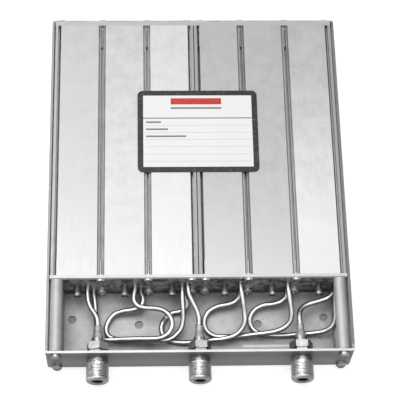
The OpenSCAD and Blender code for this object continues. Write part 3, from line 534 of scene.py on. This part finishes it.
# Distances on the rating plate are counted from its centre
ratingPrint = {
    "centre": (1.6, 37.65), "half": (43.8, 33.3), "border": 4.1, "innerCorner": 0.5,
    "barCorner": 0.1, "inkEdge": 0.08,
    "black": (0.030, 0.027, 0.030, 1), "white": (0.87, 0.87, 0.86, 1),
    "rule": (0.60, 0.60, 0.60, 1), "divider": (0.13, 0.12, 0.13, 1),
    "title": (0.56, 0.045, 0.04, 1), "caption": (0.20, 0.19, 0.20, 1),
    "dividerUp": 10.45, "dividerHalf": 0.38,
    "rulesUp": (4.45, -1.35, -7.05, -12.95, -18.95, -24.75), "ruleHalf": 0.18, "ruleInset": 1.0,
    "titleUp": 24.35, "titleHalf": (18.5, 2.6), "titleCorner": 0.3, "titleAside": -1,
    "captionUp": 18.75, "captionHalf": (18.5, 0.7), "captionCorner": 0.2,
    "rowHalves": (5.5, 8.0, 14.5), "rowThick": 0.65, "firstRowUp": 7.15, "rowStep": 5.8,
    "rowInset": 2.0,
    "dust": (0.62, 0.61, 0.60, 1), "dustScale": 0.35, "dustDetail": 6.0,
    "dustRange": (0.5, 0.8), "dustMost": 0.12,
    "rough": (0.28, 0.46), "roughRange": (0.3, 0.7), "shine": 0.25,
}


def ratingMaterial(name, look):
    material, tree, shader = newMaterial(name, 0.0, look["rough"][0])
    place = vectorNode(tree, "MULTIPLY", addNode(tree, "ShaderNodeTexCoord").outputs["Object"],
                       (1 / mm, 1 / mm, 1 / mm))

    def bar(x, y, halfX, halfY, corner=look["barCorner"]):
        node = addNode(tree, "ShaderNodeGroup", {"node_tree": printedBar}, Vector=place,
                       Centre=(x, y, 0), Corner=corner, Softness=look["inkEdge"])
        node.inputs["Half Size"].default_value = (halfX, halfY, 0)
        return node.outputs["Mask"]

    x, y = look["centre"]
    halfX, halfY = (h - look["border"] for h in look["half"])
    colour = mixColour(tree, bar(x, y, halfX, halfY, look["innerCorner"]),
                       look["black"], look["white"])
    colour = mixColour(tree, bar(x, y + look["dividerUp"], halfX, look["dividerHalf"]),
                       colour, look["divider"])
    for up in look["rulesUp"]:
        colour = mixColour(tree, bar(x, y + up, halfX - look["ruleInset"], look["ruleHalf"]),
                           colour, look["rule"])
    for ink in ("title", "caption"):
        colour = mixColour(tree, bar(x + look["titleAside"], y + look[ink + "Up"],
                                     *look[ink + "Half"], look[ink + "Corner"]),
                           colour, look[ink])
    for row, half in enumerate(look["rowHalves"]):
        up = look["firstRowUp"] - row * look["rowStep"]
        colour = mixColour(tree, bar(x - halfX + look["rowInset"] + half, y + up, half,
                                     look["rowThick"], look["captionCorner"]),
                           colour, look["caption"])
    dust = addNode(tree, "ShaderNodeTexNoise", Vector=place, Scale=look["dustScale"],
                   Detail=look["dustDetail"])
    colour = mixColour(tree, spread(tree, dust.outputs["Fac"], *look["dustRange"], 0.0,
                                    look["dustMost"]), colour, look["dust"])
    setInput(tree, shader.inputs["Base Color"], colour)
    shader.inputs["Specular IOR Level"].default_value = look["shine"]
    setInput(tree, shader.inputs["Roughness"], spread(tree, dust.outputs["Fac"],
                                                      *look["roughRange"], *look["rough"]))
    return material


materials["label"] = ratingMaterial("ratingFoil", ratingPrint)
print("materials made:", len(materials))

# Screws and nuts with steel of their own: aged, and with painted light and shade
agedAndShadedNodes = {"corner_screws": "old_steel", "tuning_bushes": "old_steel",
             "jack_nuts": "nut_steel", "clamp_nuts": "nut_steel", "lock_nuts": "nut_steel"}
for part in frame["record"]["subparts"]:
    faces = nodes[part["node"]].data
    faces.materials.clear()
    faces.materials.append(materials[agedAndShadedNodes.get(part["node"], part["material_slot"])])


# Cables: a smooth line through the points, then a round sheath along it

def atRoute(point):
    y = bay["midY"] - point[2] if point[0] > 0 else bay["mouthY"] + point[2]
    return Vector((bay["placeX"][point[0]] + point[1], y, bay["floorZ"] + point[3])) * mm


def atEnd(end):
    cell, port = end
    if cell:
        across, up = cablePorts[port]
        return [Vector((bay["placeX"][cell] + across, y, bay["floorZ"] + up)) * mm
                for y in (bay["midY"] - bay["lead"], bay["blockY"])]
    return [Vector((bay["placeX"][-port], y, bay["jackZ"])) * mm
            for y in (bay["mouthY"] + bay["lead"], bay["mouthY"], bay["sleeveY"])]


def smoothLine(points, steps):
    def chord(i):
        return points[i + 1] - points[i]

    last = len(points) - 1
    headings = []
    for i in range(last + 1):
        before, after = chord(max(i, 1) - 1), chord(min(i, last - 1))
        headings.append((before.normalized() * after.length
                         + after.normalized() * before.length).normalized())
    line = []
    for i in range(last):
        a, b, reach = points[i], points[i + 1], chord(i).length
        for j in range(steps):
            t = j / steps
            line.append((2 * t - 3) * t * t * (a - b) + a
                        + reach * t * ((1 - t) ** 2 * headings[i] + t * (t - 1) * headings[i + 1]))
    return line + [points[last]]


def newTree(name, inputs):
    tree = bpy.data.node_groups.new(name, "GeometryNodeTree")
    tree.interface.new_socket("Geometry", in_out="INPUT", socket_type="NodeSocketGeometry")
    sockets = {}
    for label, kind, value in inputs:
        socket = tree.interface.new_socket(label, in_out="INPUT", socket_type="NodeSocket" + kind)
        if value is not None:
            socket.default_value = value
        sockets[label] = socket.identifier
    tree.interface.new_socket("Geometry", in_out="OUTPUT", socket_type="NodeSocketGeometry")
    return tree, addNode(tree, "NodeGroupInput"), addNode(tree, "NodeGroupOutput"), sockets


def plainPiece(name, mesh, tree, sockets, values):
    maker = bpy.data.objects.new(name + "Maker", mesh)
    bpy.context.scene.collection.objects.link(maker)
    modifier = maker.modifiers.new("make", "NODES")
    modifier.node_group = tree
    for label, value in values.items():
        modifier[sockets[label]] = value
    bpy.context.view_layer.update()
    made = bpy.data.meshes.new_from_object(
        maker.evaluated_get(bpy.context.evaluated_depsgraph_get()))
    bpy.data.objects.remove(maker)
    piece = bpy.data.objects.new(name, made)
    bpy.context.scene.collection.objects.link(piece)
    return piece


sheathTree, given, result, sheathSockets = newTree(
    "cableSheath", [("Radius", "Float", 0.0018), ("Sides", "Int", 20),
                    ("Material", "Material", None)])
line = addNode(sheathTree, "GeometryNodeMeshToCurve", Mesh=given.outputs["Geometry"])
ring = addNode(sheathTree, "GeometryNodeCurvePrimitiveCircle", Resolution=given.outputs["Sides"],
               Radius=given.outputs["Radius"])
skin = addNode(sheathTree, "GeometryNodeCurveToMesh", Curve=line.outputs["Curve"])
setInput(sheathTree, skin.inputs["Profile Curve"], ring.outputs["Curve"])
skin.inputs["Fill Caps"].default_value = True
real = addNode(sheathTree, "GeometryNodeRealizeInstances", Geometry=skin.outputs["Mesh"])
painted = addNode(sheathTree, "GeometryNodeSetMaterial", Geometry=real.outputs[0],
                  Material=given.outputs["Material"])
setInput(sheathTree, result.inputs["Geometry"], painted.outputs["Geometry"])

cableSheath = {"radius": 1.8 * mm, "sides": 20, "steps": 6, "smoothBelow": 40}


def smoothShade(piece, angle):
    piece.data.shade_smooth()
    piece.data.set_sharp_from_angle(angle=math.radians(angle))


for name, (start, end, points) in cableRoutes.items():
    route = atEnd(start)[::-1] + [atRoute(p) for p in points] + atEnd(end)
    line = smoothLine(route, cableSheath["steps"])
    mesh = bpy.data.meshes.new(name + "Line")
    mesh.from_pydata(line, [(i, i + 1) for i in range(len(line) - 1)], [])
    cable = plainPiece(name + "_sheath", mesh, sheathTree, sheathSockets, {
        "Radius": cableSheath["radius"], "Sides": cableSheath["sides"],
        "Material": materials["cable_sheath"]})
    smoothShade(cable, cableSheath["smoothBelow"])
    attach(cable, "case")
    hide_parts(name)
print("cables laid:", len(cableRoutes))

# Jacks: a turned shell, with the thread wound round its nose

jackShell = {
    "frontY": -131.75, "sides": 72, "smoothBelow": 35,
    "out": 16.2, "radius": 7.95, "rim": 2.2, "ring": (1.0, 1.2, 1.2), "groove": 1.1,
    "bore": 4.15, "mouth": 5.3, "boreDepth": 13.5, "bead": 2.5,
    "neck": 4.75, "neckEnd": 11.6, "collar": 4.15, "collarEnd": 15.4,
    "band": 0.1, "coreFrom": 0.5, "coreStop": 0.4, "chamfer": 0.3,
    "core": 7.55, "pitch": 1.058, "ridge": 0.30, "ridgeSides": 4, "turnSteps": 64,
    "runOut": 0.5,
}
threadTree, given, result, threadSockets = newTree(
    "threadedNose", [("Turns", "Float", 9.0), ("Radius", "Float", 0.0073),
                     ("Length", "Float", 0.010), ("Start", "Vector", (0, 0, 0)),
                     ("Ridge", "Float", 0.0005), ("Material", "Material", None)])
helix = addNode(threadTree, "GeometryNodeCurveSpiral", Resolution=jackShell["turnSteps"],
                Rotations=given.outputs["Turns"], Height=given.outputs["Length"])
for name in ("Start Radius", "End Radius"):
    setInput(threadTree, helix.inputs[name], given.outputs["Radius"])
upright = addNode(threadTree, "GeometryNodeSetCurveNormal", {"mode": "Z_UP"},
                  Curve=helix.outputs["Curve"])
ridge = addNode(threadTree, "GeometryNodeCurvePrimitiveCircle",
                Resolution=jackShell["ridgeSides"], Radius=given.outputs["Ridge"])
wound = addNode(threadTree, "GeometryNodeCurveToMesh", Curve=upright.outputs["Curve"])
setInput(threadTree, wound.inputs["Profile Curve"], ridge.outputs["Curve"])
wound.inputs["Fill Caps"].default_value = True
laid = addNode(threadTree, "GeometryNodeTransform", Geometry=wound.outputs["Mesh"],
               Translation=given.outputs["Start"], Rotation=(math.radians(90), 0, 0))
both = addNode(threadTree, "GeometryNodeJoinGeometry")
for shape in (given, laid):
    setInput(threadTree, both.inputs["Geometry"], shape.outputs["Geometry"])
real = addNode(threadTree, "GeometryNodeRealizeInstances", Geometry=both.outputs["Geometry"])
painted = addNode(threadTree, "GeometryNodeSetMaterial", Geometry=real.outputs[0],
                  Material=given.outputs["Material"])
setInput(threadTree, result.inputs["Geometry"], painted.outputs["Geometry"])


def turnedMesh(name, outline, centreX, y, z, sides):
    # outline is (radius, distance along Y) in millimetres, closed on itself
    shape = bmesh.new()
    rings = [[shape.verts.new((
        (centreX + radius * math.sin(2 * math.pi * i / sides)) * mm, (y + along) * mm,
        (z + radius * math.cos(2 * math.pi * i / sides)) * mm)) for i in range(sides)]
        for radius, along in outline]
    for a in range(len(rings)):
        first, second = rings[a], rings[(a + 1) % len(rings)]
        for i in range(sides):
            j = (i + 1) % sides
            shape.faces.new((first[i], first[j], second[j], second[i]))
    bmesh.ops.recalc_face_normals(shape, faces=shape.faces)
    mesh = bpy.data.meshes.new(name)
    shape.to_mesh(mesh)
    shape.free()
    return mesh


def shellOutline(jack):
    front, tip = -jack["out"], jack["radius"]
    rimRear = front + jack["rim"]
    ringRear = -jack["ring"][0]
    ringFront = ringRear - jack["ring"][1]
    threadFrom = ringFront - jack["ring"][2]
    inGroove, onRing = tip - jack["groove"], tip - jack["groove"] / 2
    flare = jack["mouth"] - jack["bore"]
    rounding = [(tip - jack["rim"] * (1 - math.sin(math.radians(a))),
                 front + jack["rim"] * (1 - math.cos(math.radians(a)))) for a in range(0, 91, 10)]
    return [
        (jack["bead"], jack["collarEnd"]), (jack["bead"], front + jack["boreDepth"]),
        (jack["bore"], front + jack["boreDepth"]), (jack["bore"], front + flare),
        (jack["mouth"], front), *rounding, (tip, rimRear + jack["band"]),
        (jack["core"], rimRear + jack["coreFrom"]), (jack["core"], threadFrom - jack["coreStop"]),
        (tip - jack["chamfer"], threadFrom), (inGroove, threadFrom), (inGroove, ringFront),
        (onRing, ringFront), (onRing, ringRear), (inGroove, ringRear), (inGroove, 0.0),
        (jack["neck"], 0.0), (jack["neck"], jack["neckEnd"]),
        (jack["collar"], jack["neckEnd"]), (jack["collar"], jack["collarEnd"]),
    ]


threadLength = (jackShell["out"] - jackShell["rim"] - sum(jackShell["ring"])
                - 2 * jackShell["runOut"])
for index, name in enumerate(("jack_left", "jack_centre", "jack_right")):
    centreX = bay["placeX"][-index]
    shell = turnedMesh(name + "Turned", shellOutline(jackShell), centreX,
                       jackShell["frontY"], bay["jackZ"], jackShell["sides"])
    startY = jackShell["frontY"] - sum(jackShell["ring"]) - jackShell["runOut"]
    nose = plainPiece(name + "_threaded", shell, threadTree, threadSockets, {
        "Turns": threadLength / jackShell["pitch"], "Radius": jackShell["core"] * mm,
        "Length": threadLength * mm,
        "Start": (centreX * mm, startY * mm, bay["jackZ"] * mm),
        "Ridge": jackShell["ridge"] * mm, "Material": materials["jack_shell"]})
    smoothShade(nose, jackShell["smoothBelow"])
    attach(nose, "case")
    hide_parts(name)
print("jacks turned and threaded: 3")

# The floor glows to the camera, but not under the pan, where its holes look down on it onto a
# painted shadow grey. It lies a hair above the pan's underside and is clear from below there, so
# that the underside shows
floorWhite, tree, shader = newMaterial("paleFloor", 0.0, studio["floorRough"])
where = addNode(tree, "ShaderNodeSeparateXYZ", Vector=vectorNode(
    tree, "ABSOLUTE", addNode(tree, "ShaderNodeTexCoord").outputs["Object"]))
beyondX, beyondY = (mathNode(tree, "GREATER_THAN", where.outputs[axis], edge)
                    for axis, edge in zip("XY", studio["underPan"]))
rays = addNode(tree, "ShaderNodeLightPath")
seen = mathNode(tree, "MAXIMUM", rays.outputs["Is Camera Ray"], mathNode(
    tree, "MAXIMUM", rays.outputs["Is Glossy Ray"], rays.outputs["Is Transmission Ray"]))
outside = mathNode(tree, "MAXIMUM", beyondX, beyondY)
seen = mathNode(tree, "MULTIPLY", seen, outside)
setInput(tree, shader.inputs["Base Color"], mixColour(
    tree, outside, studio["underPanShadow"], studio["floorColour"]))
shader.inputs["Emission Color"].default_value = (1, 1, 1, 1)
setInput(tree, shader.inputs["Emission Strength"], mathNode(
    tree, "MULTIPLY", seen, studio["floorGlow"]))
underneath = mathNode(tree, "MULTIPLY", mathNode(tree, "SUBTRACT", 1.0, outside),
                      addNode(tree, "ShaderNodeNewGeometry").outputs["Backfacing"])
clear = addNode(tree, "ShaderNodeBsdfTransparent")
cover = addNode(tree, "ShaderNodeMixShader", _0=underneath, _1=shader.outputs["BSDF"],
                _2=clear.outputs["BSDF"])
setInput(tree, tree.nodes["Material Output"].inputs["Surface"], cover.outputs["Shader"])
half, up = studio["floorSize"] / 2, studio["floorUp"]
floorMesh = bpy.data.meshes.new("floor")
floorMesh.from_pydata([(-half, -half, up), (half, -half, up), (half, half, up),
                       (-half, half, up)], [], [(0, 1, 2, 3)])
floorMesh.materials.append(floorWhite)
floor = bpy.data.objects.new("floor", floorMesh)
bpy.context.scene.collection.objects.link(floor)

world = bpy.data.worlds.new("studio")
bpy.context.scene.world = world
world.use_nodes = True
tree = world.node_tree
rays = addNode(tree, "ShaderNodeLightPath")
seen = mathNode(tree, "MAXIMUM", rays.outputs["Is Camera Ray"], mathNode(
    tree, "MAXIMUM", rays.outputs["Is Glossy Ray"], rays.outputs["Is Transmission Ray"]))
sky = tree.nodes["Background"]
sky.inputs["Color"].default_value = (1, 1, 1, 1)
setInput(tree, sky.inputs["Strength"], spread(tree, seen, 0.0, 1.0, studio["worldLevel"], 1.0))

for name in ("softbox", "top"):
    lamp = studio[name]
    light = bpy.data.lights.new(name, "AREA")
    light.size = lamp["size"]
    light.energy = lamp["power"]
    holder = bpy.data.objects.new(name, light)
    holder.location = lamp["place"]
    holder.rotation_mode = "QUATERNION"
    holder.rotation_quaternion = (-Vector(lamp["place"])).to_track_quat("-Z", "Y")
    bpy.context.scene.collection.objects.link(holder)

lens = bpy.data.cameras.new("camera")
lens.lens = cameraView["lens"]
lens.clip_end = cameraView["reach"]
camera = bpy.data.objects.new("camera", lens)
turn = Matrix((cameraView["right"], cameraView["up"], cameraView["back"])).transposed().to_4x4()
camera.matrix_world = Matrix.Translation(cameraView["place"]) @ turn
bpy.context.scene.collection.objects.link(camera)
bpy.context.scene.camera = camera
bpy.context.scene.view_settings.view_transform = "Standard"
print("studio ready")
